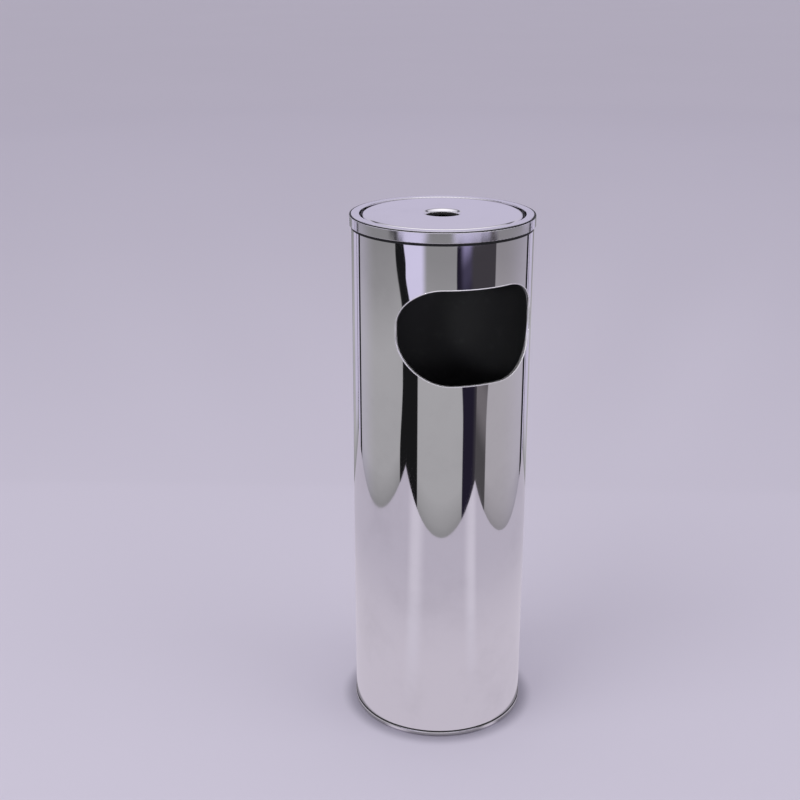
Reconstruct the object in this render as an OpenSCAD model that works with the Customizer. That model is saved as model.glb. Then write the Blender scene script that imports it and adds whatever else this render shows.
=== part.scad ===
// Free-standing ashtray bin: a polished steel tube with a litter opening in its side,
// an inner bucket with a bail, and a head that holds an ash bowl under a round lid.
// Millimetres, +Z up. The origin is on the floor at the centre of the bin, and the
// litter opening faces -Y.

/* [Overall] */
// Height from the floor to the top of the head
overall_h = 590; // [585:1:620]
// Outer diameter of the rim band, the widest part
ring_d = 200; // [200:1:206]
// Outer diameter of the tube
tube_d = 196.4; // [196:0.1:196.4]

/* [Sheet metal] */
// Thickness of the tube, bucket, bowl and lid sheet
sheet_t = 0.8; // [0.6:0.1:0.8]
// Thickness of the rim plate, the rim band and the base ring
ring_t = 1.0; // [0.8:0.1:1.0]

/* [Litter opening] */
// Width of the opening, seen from straight in front
opening_w = 153; // [130:1:154]
// Height of the opening
opening_h = 102; // [94:1:104]
// Height of the opening's lower edge above the floor
opening_z = 426.5; // [424:0.5:430]
// Radius of the two upper corners
opening_top_r = 40; // [30:1:42]
// Radius of the two lower corners
opening_low_r = 50; // [40:1:51]

/* [Lid] */
// Diameter of the lid plate
lid_d = 172.4; // [171.6:0.2:173]
// Diameter of the hole that cigarette ends drop through
throat_d = 36; // [30:1:48]

/* [Bucket] */
// Height of the bucket's rim above the floor
bucket_rim_z = 352; // [320:1:402]
// Diameter of the bail wire
bail_wire_d = 4; // [3:0.5:4]

/* [Hidden] */
$fn = 180;

polished_steel = [0.80, 0.80, 0.82];
satin_steel = [0.70, 0.70, 0.72];
black = [0.10, 0.10, 0.11];
zinc = [0.62, 0.63, 0.65];

cut = 1;                                    // how far a cutter runs past a face
ring_r = ring_d / 2;
tube_r = tube_d / 2;
tube_in_r = tube_r - sheet_t;

// Base: rubber feet, then the base ring's bead, the gasket and the tube.
foot_h = 4;
foot_r = 7;
foot_tip_r = 6;
foot_circle_r = 78;
foot_count = 4;
foot_recess_r = 4.3;
foot_recess_h = 2.2;
bead_low_z = 1.5;                           // the feet stand this far below the bead
bead_top_z = 6;
bead_r = tube_r + 0.7;
bead_w = 3;
bead_edge = 1.4;                            // radius of the bead's two outer edges
base_flange_in_r = 70;
spigot_gap = 0.3;                           // slip gap of a spigot in the tube
spigot_r = tube_in_r - spigot_gap;
base_spigot_top_z = 20;
gasket_h = 1.5;
gasket_r = tube_r + 0.3;
gasket_in_r = spigot_r + 0.1;
tube_low_z = bead_top_z + gasket_h;
plate_z = foot_h + ring_t;                  // underside of the bottom plate
plate_t = 1;
plate_r = spigot_r - ring_t - 0.5;
dish_r = 48;                                // raised middle of the bottom plate
dish_rise = 2.5;
screw_r = 2;
screw_hole_r = 2.2;
screw_head_r = 3.9;
screw_head_low_z = 0.5;
screw_top_z = 11;
washer_r = 4.5;
washer_t = 0.8;
nut_across = 7;
nut_h = 3.2;

// Head: a flat rim plate and a rim band clad the black collar, whose spigot plugs into
// the tube. The collar shows as a fine line between the plate and the band.
band_h = 12;
groove_h = 3;                               // dark line between the band and the tube
ring_in_r = 89.2;
plate_edge = 0.5;                           // radius of the rim plate's outer edge
band_edge = 0.6;                            // radius of the rim band's top edge
lip_h = 7;                                  // turned-down inner lip of the rim plate
lip_edge = 0.6;
line_w = 1.5;                               // black line between the plate and the band
line_out_r = ring_r - 0.3;
line_in_r = line_out_r - line_w;
line_top_z = overall_h - 0.3;
line_low_z = line_top_z - 0.8;
line_edge = 0.5;
band_low_z = overall_h - band_h;
tube_top_z = band_low_z - groove_h;
collar_spigot_h = 24;
collar_spigot_t = 2.5;
collar_in_r = 84.5;
ledge_h = 2;
ledge_z = band_low_z + ledge_h;             // the bowl's flange rests here
collar_r = ring_r - ring_t - 0.1;
groove_r = tube_r - 0.3;
collar_rim_t = 2.3;

// Ash bowl.
bowl_r = 82;
bowl_flange_r = ring_in_r - 0.6;
bowl_flange_t = 1;
bowl_h = 46;
bowl_corner = 10;
bowl_low_z = ledge_z - bowl_h;

// Lid: a plate on a skirt. The plate is drawn down round the hole into a rounded mouth.
lid_r = lid_d / 2;
lid_edge = 1.6;
lid_rim_h = 4;
skirt_r = lid_r - 1.8;
skirt_low_z = ledge_z + bowl_flange_t;
throat_r = throat_d / 2;
mouth_round = 5;
mouth_r = throat_r + mouth_round;
mouth_low_z = overall_h - mouth_round;
throat_len = 1;

// Bucket.
chime_h = 6;                                // the bucket stands on this seam
bucket_low_z = plate_z + plate_t;
bucket_low_r = 86;
bucket_top_r = 92.5;
rim_bead_r = 1.4;
rim_bead_at = bucket_top_r + 0.6;
ear_in_r = 90;
ear_t = 1.2;
ear_w = 20;
ear_low_z = bucket_rim_z - 22;
pivot_z = bucket_rim_z + bail_wire_d / 2 + 0.3;
ear_round_z = bucket_rim_z - 1.5;           // centre of the ear's rounded top
pivot_hole_r = bail_wire_d / 2 + 0.4;
rivet_r = 1.8;
rivet_hole_r = 1.9;
rivet_head_r = 3.3;
rivet_head_t = 1;
rivet_y = 5.5;
rivet_z = bucket_rim_z - 14;
rivet_inner_x = 89.5;                       // the inner heads sit just inside the ears
rivet_outer_x = 92.4;
bail_r = 87;
bail_leg = 5.5;
bail_end_x = 96.2;
bail_head_r = 3;
bail_head_t = 1.2;

// Trim round the litter opening.
trim_t = 1;
trim_out_r = tube_r + 0.5;
trim_in_r = tube_r - 3;

// A rectangle in a lathe section, from radius r0 to r1 and from height z0 to z1.
module block(r0, r1, z0, z1) {
    translate([r0, z0]) square([r1 - r0, z1 - z0]);
}

// Cutter that rounds an outer edge at radius r and height z. up is 1 for a top edge
// and -1 for a bottom edge.
module edge_cut(r, z, e, up = 1) {
    difference() {
        translate([r - e, up > 0 ? z - e : z - cut]) square([e + cut, e + cut]);
        translate([r - e, z - up * e]) circle(e, $fn = 48);
    }
}

// Cutter that rounds the top inner edge of a hole of radius r.
module inner_edge_cut(r, z, e) {
    difference() {
        translate([r - cut, z - e]) square([e + cut, e + cut]);
        translate([r + e, z - e]) circle(e, $fn = 48);
    }
}

// Quarter of a bent sheet: outer radius e, centred at radius r and height z. The
// directions dr and dz say which way the bend bulges.
module bend(r, z, e, t, dr, dz) {
    intersection() {
        translate([r, z]) difference() {
            circle(e, $fn = 72);
            circle(e - t, $fn = 72);
        }
        translate([dr > 0 ? r : r - e, dz > 0 ? z : z - e]) square([e, e]);
    }
}

module band(r_in, r_out, z0, z1) {
    rotate_extrude() block(r_in, r_out, z0, z1);
}

// Outline of the litter opening in front view, grown outwards by grow.
module opening_outline(grow = 0) {
    half = opening_w / 2 + grow;
    low = opening_z - grow;
    high = opening_z + opening_h + grow;
    top_r = opening_top_r + grow;
    low_r = opening_low_r + grow;
    translate([-half, low + low_r]) square([2 * half, high - low - top_r - low_r]);
    translate([top_r - half, high - top_r]) square([2 * (half - top_r), top_r]);
    translate([low_r - half, low]) square([2 * (half - low_r), low_r]);
    for (side = [-1, 1]) {
        translate([side * (half - top_r), high - top_r]) circle(top_r);
        translate([side * (half - low_r), low + low_r]) circle(low_r);
    }
}

// The opening's outline as a solid through the front wall.
module opening_cutter(grow = 0) {
    rotate([90, 0, 0]) linear_extrude(height = ring_r + cut) opening_outline(grow);
}

// Children at each foot.
module at_feet() {
    for (i = [0 : foot_count - 1])
        rotate([0, 0, 45 + i * 360 / foot_count]) translate([foot_circle_r, 0, 0]) children();
}

// Children at each of the two ends of the pivot axis; they are drawn for the +X end.
module both_ends() {
    for (turn = [0, 180]) rotate([0, 0, turn]) children();
}

// Children along +X at each rivet of the +X ear.
module at_rivets() {
    for (y = [-rivet_y, rivet_y]) translate([0, y, rivet_z]) rotate([0, 90, 0]) children();
}

module outer_tube() {
    color(polished_steel) difference() {
        band(tube_in_r, tube_r, tube_low_z, tube_top_z);
        opening_cutter(trim_t);
    }
}

module opening_trim() {
    color(polished_steel) intersection() {
        band(trim_in_r, trim_out_r, opening_z - 2 * trim_t, opening_z + opening_h + 2 * trim_t);
        difference() {
            opening_cutter(trim_t);
            opening_cutter();
        }
    }
}

module base_ring() {
    color(satin_steel) difference() {
        rotate_extrude() difference() {
            union() {
                block(base_flange_in_r, bead_r, foot_h, foot_h + ring_t);
                block(bead_r - bead_w, bead_r, bead_low_z, bead_top_z);
                block(spigot_r - ring_t, spigot_r, foot_h, base_spigot_top_z);
            }
            edge_cut(bead_r, bead_top_z, bead_edge);
            edge_cut(bead_r, bead_low_z, bead_edge, -1);
        }
        at_feet() cylinder(h = 3 * foot_h, r = screw_hole_r, center = true, $fn = 48);
    }
}

module base_gasket() {
    color(black) band(gasket_in_r, gasket_r, bead_top_z, bead_top_z + gasket_h);
}

module bottom_plate() {
    top = plate_z + plate_t;
    color(zinc) difference() {
        rotate_extrude() union() {
            block(dish_r + dish_rise, plate_r, plate_z, top);
            block(0, dish_r, plate_z + dish_rise, top + dish_rise);
            polygon([
                [dish_r, plate_z + dish_rise], [dish_r + dish_rise, plate_z],
                [dish_r + dish_rise, top], [dish_r, top + dish_rise]
            ]);
        }
        at_feet() cylinder(h = 3 * top, r = screw_hole_r, center = true, $fn = 48);
    }
}

module feet() {
    color(black) at_feet() difference() {
        cylinder(h = foot_h, r1 = foot_tip_r, r2 = foot_r, $fn = 64);
        translate([0, 0, -cut]) cylinder(h = foot_recess_h + cut, r = foot_recess_r, $fn = 64);
        cylinder(h = 3 * foot_h, r = screw_hole_r, center = true, $fn = 48);
    }
}

module foot_screws() {
    color(zinc) at_feet() union() {
        translate([0, 0, screw_head_low_z])
            cylinder(h = foot_recess_h - screw_head_low_z, r = screw_head_r, $fn = 48);
        translate([0, 0, foot_recess_h])
            cylinder(h = screw_top_z - foot_recess_h, r = screw_r, $fn = 48);
    }
}

module foot_washers() {
    color(zinc) at_feet() translate([0, 0, plate_z + plate_t]) difference() {
        cylinder(h = washer_t, r = washer_r, $fn = 48);
        cylinder(h = 3 * washer_t, r = screw_hole_r, center = true, $fn = 48);
    }
}

module foot_nuts() {
    color(zinc) at_feet() translate([0, 0, plate_z + plate_t + washer_t]) difference() {
        cylinder(h = nut_h, r = nut_across / 2 / cos(30), $fn = 6);
        cylinder(h = 3 * nut_h, r = screw_r + 0.1, center = true, $fn = 48);
    }
}

module rim_plate() {
    plate_out_r = line_in_r - 0.1;
    color(satin_steel) rotate_extrude() difference() {
        union() {
            block(ring_in_r, plate_out_r, overall_h - ring_t, overall_h);
            block(ring_in_r, ring_in_r + ring_t, overall_h - lip_h, overall_h);
        }
        edge_cut(plate_out_r, overall_h, plate_edge);
        inner_edge_cut(ring_in_r, overall_h, lip_edge);
    }
}

module rim_band() {
    color(satin_steel) rotate_extrude() difference() {
        block(ring_r - ring_t, ring_r, band_low_z, line_low_z);
        edge_cut(ring_r, line_low_z, band_edge);
        edge_cut(ring_r, band_low_z, band_edge, -1);
    }
}

module collar() {
    color(black) rotate_extrude() union() {
        block(spigot_r - collar_spigot_t, spigot_r, tube_top_z - collar_spigot_h, tube_top_z);
        block(collar_in_r, groove_r, tube_top_z, band_low_z);
        block(collar_in_r, collar_r, band_low_z, ledge_z);
        block(collar_r - collar_rim_t, collar_r, ledge_z, overall_h - ring_t);
        difference() {
            block(line_in_r, line_out_r, line_low_z, line_top_z);
            edge_cut(line_out_r, line_top_z, line_edge);
        }
    }
}

module ash_bowl() {
    color(black) rotate_extrude() union() {
        block(bowl_r - sheet_t, bowl_flange_r, ledge_z, ledge_z + bowl_flange_t);
        block(bowl_r - sheet_t, bowl_r, bowl_low_z + bowl_corner, ledge_z + bowl_flange_t);
        bend(bowl_r - bowl_corner, bowl_low_z + bowl_corner, bowl_corner, sheet_t, 1, -1);
        block(0, bowl_r - bowl_corner, bowl_low_z, bowl_low_z + sheet_t);
    }
}

module lid_plate() {
    color(polished_steel) rotate_extrude() difference() {
        union() {
            block(mouth_r, lid_r, overall_h - sheet_t, overall_h);
            block(lid_r - sheet_t, lid_r, overall_h - lid_rim_h, overall_h);
            bend(mouth_r, mouth_low_z, mouth_round, sheet_t, -1, 1);
            block(throat_r, throat_r + sheet_t, mouth_low_z - throat_len, mouth_low_z);
        }
        edge_cut(lid_r, overall_h, lid_edge);
    }
}

module lid_skirt() {
    color(polished_steel) band(skirt_r - sheet_t, skirt_r, skirt_low_z, overall_h - sheet_t);
}

module bucket_shell() {
    wall_top = bucket_rim_z - rim_bead_r;
    color(black) difference() {
        rotate_extrude() union() {
            polygon([
                [bucket_low_r - sheet_t, bucket_low_z], [bucket_low_r, bucket_low_z],
                [bucket_top_r, wall_top], [bucket_top_r - sheet_t, wall_top]
            ]);
            translate([rim_bead_at, wall_top]) circle(rim_bead_r, $fn = 48);
        }
        both_ends() at_rivets() cylinder(h = ring_r, r = rivet_hole_r, $fn = 36);
    }
}

module bucket_bottom() {
    disc_z = bucket_low_z + chime_h;
    out_r = bucket_low_r - sheet_t;
    color(black) rotate_extrude() union() {
        block(0, out_r, disc_z, disc_z + sheet_t);
        block(out_r - sheet_t, out_r, bucket_low_z, disc_z + sheet_t);
    }
}

module bail_ears() {
    color(zinc) both_ends() difference() {
        intersection() {
            band(ear_in_r, ear_in_r + ear_t, ear_low_z - cut, pivot_z + ear_w);
            rotate([90, 0, 90]) linear_extrude(height = ring_r) union() {
                translate([-ear_w / 2, ear_low_z]) square([ear_w, ear_round_z - ear_low_z]);
                translate([0, ear_round_z]) circle(ear_w / 2, $fn = 96);
            }
        }
        translate([0, 0, pivot_z]) rotate([0, 90, 0]) cylinder(h = ring_r, r = pivot_hole_r, $fn = 48);
        at_rivets() cylinder(h = ring_r, r = rivet_hole_r, $fn = 36);
    }
}

module ear_rivets() {
    color(zinc) both_ends() at_rivets() union() {
        translate([0, 0, rivet_inner_x - rivet_head_t])
            cylinder(h = rivet_head_t, r = rivet_head_r, $fn = 48);
        translate([0, 0, rivet_inner_x])
            cylinder(h = rivet_outer_x - rivet_inner_x, r = rivet_r, $fn = 36);
        translate([0, 0, rivet_outer_x]) cylinder(h = rivet_head_t, r = rivet_head_r, $fn = 48);
    }
}

// The bail lies folded back over the rim: two hooked ends on the pivot axis, two short
// legs and a half circle that rests on the rim at the back.
module bucket_bail() {
    wire_r = bail_wire_d / 2;
    color(zinc) translate([0, 0, pivot_z]) union() {
        both_ends() {
            translate([bail_r, 0, 0]) sphere(wire_r, $fn = 36);
            translate([bail_r, 0, 0]) rotate([0, 90, 0])
                cylinder(h = bail_end_x - bail_r, r = wire_r, $fn = 36);
            translate([bail_end_x - bail_head_t, 0, 0]) rotate([0, 90, 0])
                cylinder(h = bail_head_t, r = bail_head_r, $fn = 36);
        }
        for (side = [-1, 1]) translate([side * bail_r, 0, 0]) rotate([-90, 0, 0])
            cylinder(h = bail_leg, r = wire_r, $fn = 36);
        translate([0, bail_leg, 0]) rotate_extrude(angle = 180)
            translate([bail_r, 0]) circle(wire_r, $fn = 36);
    }
}

outer_tube();
opening_trim();
base_ring();
base_gasket();
bottom_plate();
feet();
foot_screws();
foot_washers();
foot_nuts();
rim_plate();
rim_band();
collar();
ash_bowl();
lid_plate();
lid_skirt();
bucket_shell();
bucket_bottom();
bail_ears();
ear_rivets();
bucket_bail();
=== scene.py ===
import math

import bmesh
import bpy
from mathutils import Matrix, Vector


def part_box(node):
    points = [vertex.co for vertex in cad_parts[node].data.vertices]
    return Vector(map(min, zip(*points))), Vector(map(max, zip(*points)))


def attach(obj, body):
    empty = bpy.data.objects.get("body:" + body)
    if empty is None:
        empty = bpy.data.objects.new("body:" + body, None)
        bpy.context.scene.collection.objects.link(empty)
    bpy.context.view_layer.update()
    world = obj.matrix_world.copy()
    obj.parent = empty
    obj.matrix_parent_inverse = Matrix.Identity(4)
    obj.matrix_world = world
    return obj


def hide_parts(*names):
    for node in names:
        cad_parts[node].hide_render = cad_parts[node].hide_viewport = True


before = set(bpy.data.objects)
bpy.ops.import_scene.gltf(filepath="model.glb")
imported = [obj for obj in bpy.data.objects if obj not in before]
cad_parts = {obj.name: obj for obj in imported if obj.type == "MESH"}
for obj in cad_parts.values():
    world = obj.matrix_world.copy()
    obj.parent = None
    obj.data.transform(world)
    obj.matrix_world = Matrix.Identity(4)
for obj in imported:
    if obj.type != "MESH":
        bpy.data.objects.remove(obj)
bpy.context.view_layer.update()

# ---------------------------------------------------------------- camera

CAMERA_AZIMUTH = math.radians(-22.9)    # the litter opening faces -Y, to the camera's right
CAMERA_DISTANCE = 1.35                  # on the floor, from the bin's axis
CAMERA_HEIGHT = 0.86
CAMERA_PITCH = math.radians(19.7)
CAMERA_YAW = math.radians(1.93)         # turned off the axis, which puts the bin right of centre
CAMERA_LENS = 57.3
SENSOR_WIDTH = 36.0

TOWARD_CAMERA = Vector((math.sin(CAMERA_AZIMUTH), -math.cos(CAMERA_AZIMUTH), 0))
CAMERA_RIGHT = Vector((math.cos(CAMERA_AZIMUTH), math.sin(CAMERA_AZIMUTH), 0))
UP = Vector((0, 0, 1))


def studio_point(right, toward, height):
    """A point of the studio, measured from the bin's foot along the camera's directions."""
    return right * CAMERA_RIGHT + toward * TOWARD_CAMERA + height * UP


def make_camera():
    data = bpy.data.cameras.new("camera")
    data.lens = CAMERA_LENS
    data.sensor_width = SENSOR_WIDTH
    camera = bpy.data.objects.new("camera", data)
    bpy.context.scene.collection.objects.link(camera)
    camera.location = studio_point(0, CAMERA_DISTANCE, CAMERA_HEIGHT)
    camera.rotation_euler = (math.pi / 2 - CAMERA_PITCH, 0, CAMERA_AZIMUTH + CAMERA_YAW)
    bpy.context.scene.camera = camera


# ---------------------------------------------------------------- material nodes


class Graph:
    """The nodes of one material. Each method adds a node and returns its main output."""

    def __init__(self, name):
        self.material = bpy.data.materials.new(name)
        self.material.use_nodes = True
        self.tree = self.material.node_tree
        self.tree.nodes.clear()

    def node(self, kind, inputs=None, **settings):
        node = self.tree.nodes.new(kind)
        for key, value in settings.items():
            setattr(node, key, value)
        for socket, value in (inputs or {}).items():
            if isinstance(value, bpy.types.NodeSocket):
                self.tree.links.new(value, node.inputs[socket])
            else:
                node.inputs[socket].default_value = value
        return node

    def place(self):
        """Where the point is: for a CAD node, metres in the bin's own frame."""
        return self.node("ShaderNodeTexCoord").outputs["Object"]

    def parts(self, vector):
        return self.node("ShaderNodeSeparateXYZ", {0: vector}).outputs

    def vector(self, x, y, z):
        return self.node("ShaderNodeCombineXYZ", {0: x, 1: y, 2: z}).outputs[0]

    def math(self, operation, a, b=0.0, c=0.0):
        node = self.node("ShaderNodeMath", {0: a, 1: b, 2: c}, operation=operation)
        return node.outputs[0]

    def scaled(self, vector, factors):
        inputs = {0: vector, 1: factors}
        return self.node("ShaderNodeVectorMath", inputs, operation="MULTIPLY").outputs[0]

    def radius(self, vector):
        """Distance from the bin's axis."""
        flat = self.scaled(vector, (1.0, 1.0, 0.0))
        return self.node("ShaderNodeVectorMath", {0: flat}, operation="LENGTH").outputs["Value"]

    def noise(self, vector, scale, detail=2.0, roughness=0.5):
        inputs = {"Vector": vector, "Scale": scale, "Detail": detail, "Roughness": roughness}
        return self.node("ShaderNodeTexNoise", inputs).outputs[0]

    def cells(self, vector, scale):
        inputs = {"Vector": vector, "Scale": scale}
        return self.node("ShaderNodeTexVoronoi", inputs).outputs["Color"]

    def rise(self, value, low, high, start=0.0, end=1.0):
        """Goes smoothly from start to end as value goes from low to high."""
        inputs = {"Value": value, "From Min": low, "From Max": high, "To Min": start, "To Max": end}
        node = self.node("ShaderNodeMapRange", inputs, interpolation_type="SMOOTHSTEP")
        return node.outputs[0]

    def ramp(self, value, stops):
        node = self.node("ShaderNodeValToRGB", {0: value})
        elements = node.color_ramp.elements
        while len(elements) < len(stops):
            elements.new(1.0)
        for element, (position, colour) in zip(elements, stops):
            element.position = position
            element.color = (*colour, 1.0)
        return node.outputs[0]

    def blend(self, kind, factor, a, b):
        """Goes from a to b as factor goes from 0 to 1. The kind is RGBA, FLOAT or VECTOR."""
        first = {"FLOAT": 2, "VECTOR": 4, "RGBA": 6}[kind]
        node = self.node("ShaderNodeMix", data_type=kind)
        for index, value in ((0, factor), (first, a), (first + 1, b)):
            if isinstance(value, bpy.types.NodeSocket):
                self.tree.links.new(value, node.inputs[index])
            elif kind == "RGBA" and index:
                node.inputs[index].default_value = (*value, 1.0)
            else:
                node.inputs[index].default_value = value
        return node.outputs[{"FLOAT": 0, "VECTOR": 1, "RGBA": 2}[kind]]

    def mix(self, factor, a, b):
        return self.blend("RGBA", factor, a, b)

    def mix_values(self, factor, a, b):
        return self.blend("FLOAT", factor, a, b)

    def bump(self, height, depth, normal=None):
        """Raises the surface by depth metres where height is 1."""
        inputs = {"Height": height, "Distance": depth, "Strength": 1.0}
        if normal is not None:
            inputs["Normal"] = normal
        return self.node("ShaderNodeBump", inputs).outputs[0]

    def surface(self, **inputs):
        """Ends the material with a Principled shader and returns the material."""
        named = {key.replace("_", " "): value for key, value in inputs.items()}
        shader = self.node("ShaderNodeBsdfPrincipled", named)
        return self.finish(shader.outputs[0])

    def glow(self, colour, strength=1.0):
        shader = self.node("ShaderNodeEmission", {"Color": colour, "Strength": strength})
        return self.finish(shader.outputs[0])

    def finish(self, shader):
        output = self.node("ShaderNodeOutputMaterial")
        self.tree.links.new(shader, output.inputs["Surface"])
        return self.material


# ---------------------------------------------------------------- materials

STEEL = (0.86, 0.85, 0.86)
STEEL_HAZY = (0.80, 0.79, 0.80)
SATIN = (0.86, 0.85, 0.87)
SATIN_DARK = (0.78, 0.77, 0.79)
# a paler steel for the opening's edge: painted highlight
BRIGHT_EDGE = (0.97, 0.965, 0.975)
COAT = (0.024, 0.024, 0.026)
COAT_WORN = (0.040, 0.040, 0.042)
# soot, and painted shade, on the lower part of the lid's mouth
SOOT_AND_SHADE = (0.012, 0.011, 0.011)

# Stretches that turn noise into fine polishing lines.
LINES_UP = (1100.0, 1100.0, 7.0)
LINES_ROUND = (9.0, 9.0, 1500.0)


def steel_finish(graph, place, stretch, wave_depth):
    """Colour, roughness and normal of mirror-polished sheet with fine polishing lines,
    a little haze from handling and the slight waviness of thin sheet."""
    lines = graph.noise(graph.scaled(place, stretch), 1.0, 2.0, 0.7)
    haze = graph.rise(graph.noise(place, 11.0, 4.0, 0.6), 0.45, 0.75)
    colour = graph.mix(haze, STEEL, STEEL_HAZY)
    roughness = graph.math("MULTIPLY_ADD", haze, 0.030, 0.022)
    roughness = graph.math("MULTIPLY_ADD", lines, 0.020, roughness)
    wave = graph.noise(graph.scaled(place, (1.0, 1.0, 0.5)), 9.0, 1.0, 0.4)
    normal = graph.bump(wave, wave_depth)
    normal = graph.bump(lines, 0.0000004, normal)
    return colour, roughness, normal


def coat_finish(graph, place):
    """Colour, roughness and normal of a satin black powder coating."""
    worn = graph.rise(graph.noise(place, 70.0, 5.0, 0.65), 0.52, 0.80)
    colour = graph.mix(worn, COAT, COAT_WORN)
    roughness = graph.math("MULTIPLY_ADD", worn, 0.15, 0.42)
    peel = graph.noise(place, 900.0, 2.0, 0.5)
    return colour, roughness, graph.bump(peel, 0.00003)


def tube_steel():
    """Polished outside, and black inside: painted shade, with the black coat's finish."""
    graph = Graph("tube_steel")
    place = graph.place()
    colour, roughness, normal = steel_finish(graph, place, LINES_UP, 0.00010)
    # painted shade inside the tube, in the black coat's finish
    inside_shade_colour, inside_shade_roughness, inside_shade_normal = coat_finish(graph, place)
    middle = TUBE_RADIUS - SHEET / 2
    outside = graph.rise(graph.radius(place), middle - SHEET / 8, middle + SHEET / 8)
    return graph.surface(
        Base_Color=graph.mix(outside, inside_shade_colour, colour),
        Metallic=outside,
        Roughness=graph.mix_values(outside, inside_shade_roughness, roughness),
        Normal=graph.blend("VECTOR", outside, inside_shade_normal, normal),
    )


def polished_steel(name, wave_depth):
    """Polished on a lathe, so its fine lines run round the axis."""
    graph = Graph(name)
    place = graph.place()
    x, y, z = graph.parts(place)
    turned = graph.vector(x, y, graph.math("ADD", graph.radius(place), z))
    colour, roughness, normal = steel_finish(graph, turned, LINES_ROUND, wave_depth)
    return graph.surface(Base_Color=colour, Metallic=1.0, Roughness=roughness, Normal=normal)


def satin_steel(name):
    """Brushed round the axis. The lines blur what it reflects."""
    graph = Graph(name)
    place = graph.place()
    x, y, z = graph.parts(place)
    turned = graph.vector(x, y, graph.math("ADD", graph.radius(place), z))
    lines = graph.noise(graph.scaled(turned, (14.0, 14.0, 2600.0)), 1.0, 3.0, 0.75)
    patches = graph.noise(place, 26.0, 3.0)
    colour = graph.mix(lines, SATIN_DARK, SATIN)
    roughness = graph.math("MULTIPLY_ADD", lines, 0.08, 0.06)
    roughness = graph.math("MULTIPLY_ADD", patches, 0.04, roughness)
    return graph.surface(
        Base_Color=colour,
        Metallic=1.0,
        Roughness=roughness,
        Normal=graph.bump(lines, 0.0000018),
    )


def bright_edge():
    """The rolled edge of the opening, in a paler copy of the steel: a painted highlight."""
    graph = Graph("bright_edge")
    place = graph.place()
    fine = graph.noise(place, 1400.0, 3.0, 0.7)
    patches = graph.noise(place, 60.0, 3.0)
    # paler than the tube's steel: painted highlight along the opening's edge
    colour = graph.mix(patches, BRIGHT_EDGE, STEEL)
    roughness = graph.math("MULTIPLY_ADD", fine, 0.08, 0.20)
    return graph.surface(
        Base_Color=colour,
        Metallic=0.86,
        Roughness=roughness,
        Normal=graph.bump(fine, 0.000004),
    )


def lid_steel():
    """The lid's turned steel, black and matt on the lower part of the mouth: soot, and painted
    shade in the hole.
    """
    graph = Graph("lid_steel")
    place = graph.place()
    x, y, z = graph.parts(place)
    radius = graph.radius(place)
    turned_place = graph.vector(x, y, graph.math("ADD", radius, z))
    colour, roughness, normal = steel_finish(graph, turned_place, LINES_ROUND, 0.00003)
    # soot and painted shade deep in the lid's mouth
    cloud = graph.math("MULTIPLY_ADD", graph.noise(place, 160.0, 3.0), 0.0012, z)
    depth = graph.rise(cloud, LID_TOP - SOOT_AND_SHADE_DEPTH, LID_TOP - SOOT_AND_SHADE_DEPTH + 0.0010, 1.0, 0.0)
    in_mouth = graph.rise(radius, MOUTH_EDGE, MOUTH_EDGE + 0.001, 1.0, 0.0)
    soot_and_shade = graph.math("MULTIPLY", depth, in_mouth)
    return graph.surface(
        Base_Color=graph.mix(soot_and_shade, colour, SOOT_AND_SHADE),
        Metallic=graph.math("SUBTRACT", 1.0, soot_and_shade),
        Roughness=graph.mix_values(soot_and_shade, roughness, 0.75),
        Normal=normal,
    )


def black_coat(name):
    graph = Graph(name)
    place = graph.place()
    colour, roughness, normal = coat_finish(graph, place)
    return graph.surface(Base_Color=colour, Roughness=roughness, Normal=normal)


def black_plastic():
    graph = Graph("black_plastic")
    place = graph.place()
    grain = graph.noise(place, 1800.0, 2.0, 0.6)
    patches = graph.noise(place, 45.0, 3.0)
    colour = graph.mix(patches, (0.006, 0.006, 0.007), (0.012, 0.012, 0.013))
    roughness = graph.math("MULTIPLY_ADD", patches, 0.12, 0.48)
    return graph.surface(
        Base_Color=colour,
        Roughness=roughness,
        Specular_IOR_Level=0.25,
        Normal=graph.bump(grain, 0.00004),
    )


def black_rubber():
    graph = Graph("black_rubber")
    place = graph.place()
    grain = graph.noise(place, 2600.0, 3.0, 0.7)
    dust = graph.rise(graph.noise(place, 180.0, 4.0, 0.6), 0.50, 0.75)
    colour = graph.mix(dust, (0.014, 0.014, 0.014), (0.045, 0.043, 0.041))
    roughness = graph.math("MULTIPLY_ADD", dust, 0.15, 0.72)
    return graph.surface(Base_Color=colour, Roughness=roughness, Normal=graph.bump(grain, 0.00005))


def zinc():
    """Zinc plating with the faint crystals of its spangle."""
    graph = Graph("zinc")
    place = graph.place()
    spangle = graph.cells(graph.scaled(place, (1.0, 1.0, 0.4)), 210.0)
    tone = graph.parts(spangle)[0]
    fine = graph.noise(place, 900.0, 2.0)
    colour = graph.mix(tone, (0.52, 0.53, 0.56), (0.66, 0.67, 0.69))
    roughness = graph.math("MULTIPLY_ADD", tone, 0.14, 0.24)
    roughness = graph.math("MULTIPLY_ADD", fine, 0.08, roughness)
    return graph.surface(
        Base_Color=colour,
        Metallic=1.0,
        Roughness=roughness,
        Normal=graph.bump(fine, 0.000008),
    )


# ---------------------------------------------------------------- studio

FLOOR_RADIUS = 60.0
FLOOR_SIDES = 96
FLOOR_COLOUR = (0.66, 0.63, 0.73)
FLOOR_COLOUR_LIGHT = (0.68, 0.65, 0.75)
# the colour of the painted shadow round the bin's foot
FLOOR_SHADE = (0.42, 0.40, 0.48)
FLOOR_SHADE_INNER = 0.100               # the floor's painted shadow round the foot is full up to here
FLOOR_SHADE_OUTER = 0.118               # and gone from here on
WORLD_COLOUR = (0.96, 0.93, 1.0)
WORLD_STRENGTH = 0.66
SKY_RADIUS = 6.0
BACKDROP_RADIUS = 25.0
BACKDROP_COLOUR = (0.434, 0.402, 0.497)

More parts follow.
